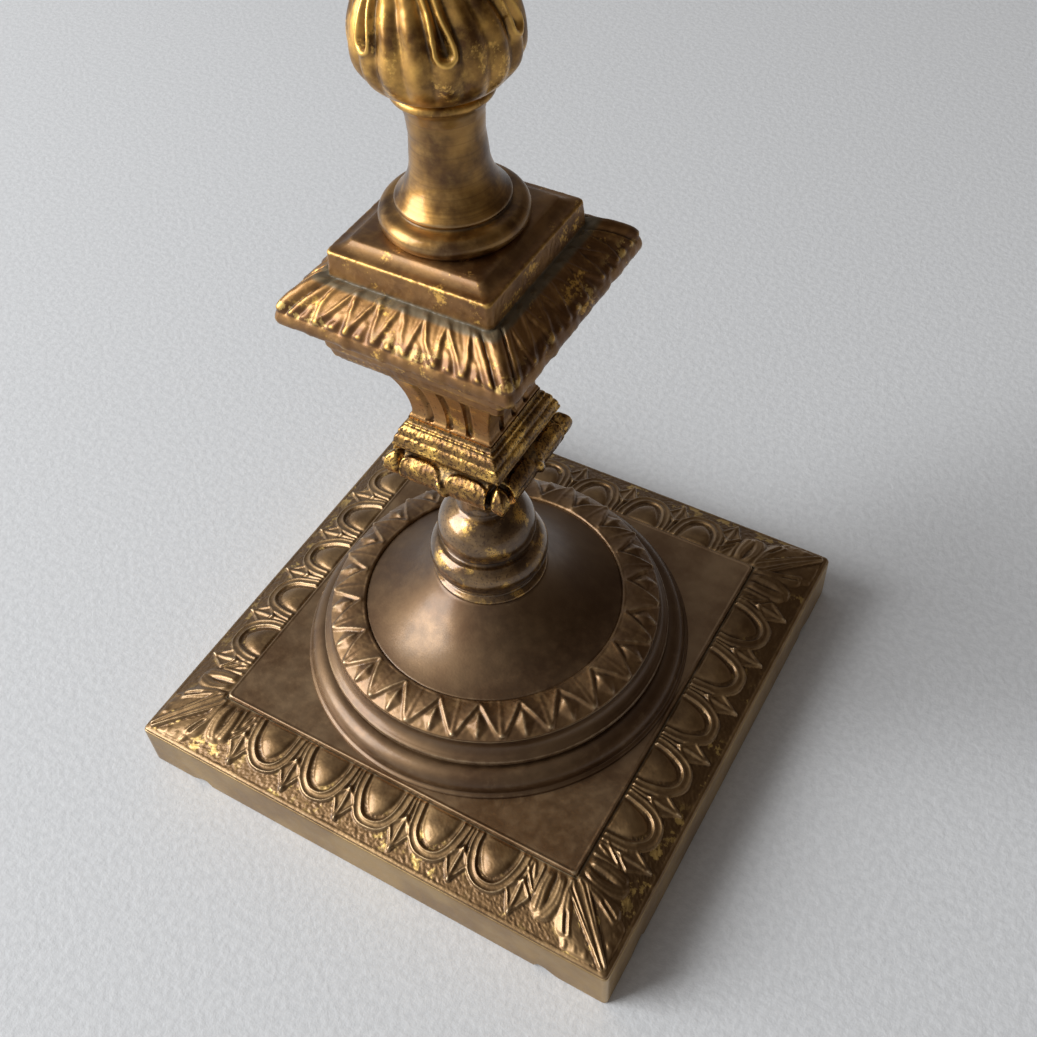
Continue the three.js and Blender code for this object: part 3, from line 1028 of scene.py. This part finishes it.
def steel(name):
    """Plain dull steel with a little rust, for the fastenings inside."""
    look = Look(name)
    mottle = look.noise(1.4, 5, 0.6)
    colour = look.mix(look.smooth(mottle, 0.4, 0.7), (0.33, 0.32, 0.31), (0.20, 0.13, 0.09))
    look.fill(look.shader, {
        "Base Color": colour, "Metallic": 1.0, "Roughness": look.smooth(mottle, 0.3, 0.7, 0.35, 0.7),
        "Normal": look.bump(mottle, 0.04),
    })
    return look.material


# ---------------- joining the frame


def finish_piece(piece, material, node, body="candlestick"):
    """Gives a piece its material and slot, and lets it stand for its CAD node."""
    piece.data.materials.append(material)
    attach(piece, body)
    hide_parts(node)


def paint_node(node, material):
    """A better material on a CAD node whose shape stays."""
    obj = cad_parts[node]
    obj.data.materials.clear()
    obj.data.materials.append(material)


# ---------------- stage

FLOOR_HALF = 12.0
AIM_HEIGHT = 0.08


def make_floor():
    """Large plain pale floor."""
    mesh = bpy.data.meshes.new("floor")
    size = FLOOR_HALF
    corners = [(-size, -size, 0), (size, -size, 0), (size, size, 0), (-size, size, 0)]
    mesh.from_pydata(corners, [], [(0, 1, 2, 3)])
    floor = bpy.data.objects.new("floor", mesh)
    bpy.context.scene.collection.objects.link(floor)
    look = Look("floor")
    weave = look.noise(1.6, 4, 0.6)
    grey = look.mix(look.smooth(weave, 0.35, 0.65), (0.68, 0.69, 0.70), (0.74, 0.75, 0.76))
    look.fill(look.shader, {
        "Base Color": grey, "Roughness": 0.75, "Specular IOR Level": 0.2, "Normal": look.bump(weave, 0.14),
    })
    mesh.materials.append(look.material)


def area_light(name, azimuth, elevation, distance, width, height, power, colour):
    """A soft rectangular light that faces the object. Azimuth 0 is in front, and 90 on the right."""
    data = bpy.data.lights.new(name, "AREA")
    data.shape = "RECTANGLE"
    data.size = width
    data.size_y = height
    data.energy = power
    data.color = colour
    light = bpy.data.objects.new(name, data)
    a, e = math.radians(azimuth), math.radians(elevation)
    back = Vector((math.sin(a) * math.cos(e), -math.cos(a) * math.cos(e), math.sin(e)))
    light.location = Vector((0, 0, AIM_HEIGHT)) + back * distance
    light.rotation_mode = "QUATERNION"
    light.rotation_quaternion = back.to_track_quat("Z", "Y")
    bpy.context.scene.collection.objects.link(light)


def make_world():
    """A room that is light on the window's side, and dim and warm on the far side and overhead."""
    world = bpy.data.worlds.new("room")
    bpy.context.scene.world = world
    world.use_nodes = True
    tree = world.node_tree
    view = tree.nodes.new("ShaderNodeTexCoord").outputs["Generated"]

    def along(direction, low, high):
        """0 to 1 as the view turns from low to high along a direction."""
        dot = tree.nodes.new("ShaderNodeVectorMath")
        dot.operation = "DOT_PRODUCT"
        tree.links.new(view, dot.inputs[0])
        dot.inputs[1].default_value = direction
        share = tree.nodes.new("ShaderNodeMapRange")
        share.interpolation_type = "SMOOTHSTEP"
        share.inputs["From Min"].default_value = low
        share.inputs["From Max"].default_value = high
        tree.links.new(dot.outputs["Value"], share.inputs["Value"])
        return share.outputs["Result"]

    def mixed(share, below, above):
        """One colour or socket going over into another."""
        mix = tree.nodes.new("ShaderNodeMix")
        mix.data_type = "RGBA"
        tree.links.new(share, mix.inputs["Factor"])
        ends = [s for s in mix.inputs if s.type == "RGBA"]
        for end, value in zip(ends, (below, above)):
            if isinstance(value, bpy.types.NodeSocket):
                tree.links.new(value, end)
            else:
                end.default_value = (*value, 1)
        return next(s for s in mix.outputs if s.type == "RGBA")

    towards_window = along((-0.85, -0.53, 0), -0.7, 0.8)
    low = mixed(towards_window, (0.16, 0.13, 0.10), (0.66, 0.67, 0.69))
    high = mixed(towards_window, (0.07, 0.055, 0.042), (0.42, 0.42, 0.43))
    room = mixed(along((0, 0, 1), 0.02, 0.6), low, high)
    tree.links.new(room, tree.nodes["Background"].inputs["Color"])


# ---------------- the object

bpy.context.scene.view_settings.view_transform = "Standard"
make_camera()

slab_look = brass(
    "slab_brass", (0.30, 0.185, 0.08), (0.46, 0.31, 0.137), (0.53, 0.365, 0.17), rough=0.46,
    wear=0.4, mottle_share=0.3, wax=0.3)
platform_look = brass(
    "platform_brass", (0.19, 0.105, 0.048), (0.35, 0.23, 0.125), (0.42, 0.285, 0.155), rough=0.46,
    wear=0.6, mottle_share=0.3)
border_look = brass(
    "border_brass", (0.17, 0.095, 0.038), (0.31, 0.19, 0.085), TAN, rough=0.44, wear=0.75)
dome_look = brass(
    "dome_brass", (0.11, 0.058, 0.027), (0.175, 0.105, 0.052), (0.22, 0.135, 0.068), rough=0.50,
    wear=0.6, grime_shade_share=0.7, mottle_share=0.3, wax=0.55)
ring_look = brass(
    "leaf_ring_brass", (0.16, 0.085, 0.036), (0.25, 0.145, 0.066), TAN, rough=0.48, wear=0.7)
collar_look = brass(
    "collar_brass", (0.10, 0.053, 0.022), (0.26, 0.15, 0.058), TAN, rough=0.32, wear=0.2,
    gilt=0.3, pits=0.5, grime_shade_share=1, turned_marks=0.4, cloud_size=6, wax=1, wax_rough=0.12)
gilt_look = brass(
    "pitted_gilt", (0.14, 0.07, 0.025), (0.37, 0.205, 0.06), (0.74, 0.45, 0.115), rough=0.30,
    worn=GOLD, wear=1, gilt=0.5, pits=0.9, grime_shade_share=1, cloud_size=6, wax=0.2)
shaft_look = brass(
    "shaft_brass", (0.21, 0.10, 0.033), (0.38, 0.20, 0.07), (0.50, 0.30, 0.12), rough=0.38,
    wear=0.35, gilt=0.2, pits=0.3, wax=0.25)
plate_look = brass(
    "plate_brass", (0.15, 0.068, 0.023), (0.33, 0.17, 0.056), (0.54, 0.31, 0.10), rough=0.46,
    worn=GOLD, wear=0.8, gilt=0.12, wax=0.4, cloud_size=12)
neck_look = brass(
    "neck_brass", (0.10, 0.044, 0.012), (0.42, 0.225, 0.058), (0.56, 0.34, 0.105), rough=0.42,
    wear=0.3, turned_marks=0.9, cloud_size=7, wax=0.5, wax_rough=0.17)
bulb_look = brass(
    "bulb_gilt", (0.12, 0.052, 0.013), (0.62, 0.34, 0.084), GOLD, rough=0.43, worn=GOLD, wear=0.9,
    gilt=0.12, mottle_share=0.6, cloud_size=6, wax=0.4, wax_rough=0.18)
socket_look = brass(
    "socket_brass", (0.17, 0.09, 0.033), (0.34, 0.195, 0.066), (0.46, 0.29, 0.10), rough=0.38,
    wear=0.5, turned_marks=0.6, cloud_size=15, wax=0.6, wax_rough=0.2)

base_slab(slab_look)
base_platform(platform_look)
for side, quarter in SIDES.items():
    base_border(f"base_border_{side}", quarter, border_look)
base_dome(dome_look)
leaf_ring(ring_look)
stem_collar(collar_look)
lower_block(gilt_look)
fluted_shaft(shaft_look)
upper_plate(plate_look)
stem_neck(neck_look)
neck_ring(bulb_look)
leaf_bulb(bulb_look)
upper_knop(neck_look)
candle_socket(socket_look)
drip_pan(socket_look)
for hidden in ("tie_rod", "tie_washer", "tie_nut"):
    paint_node(hidden, steel(f"{hidden}_steel"))

make_floor()
make_world()
area_light("window", azimuth=-52, elevation=28, distance=1.5, width=0.9, height=1.15,
           power=30, colour=(0.97, 0.985, 1.0))
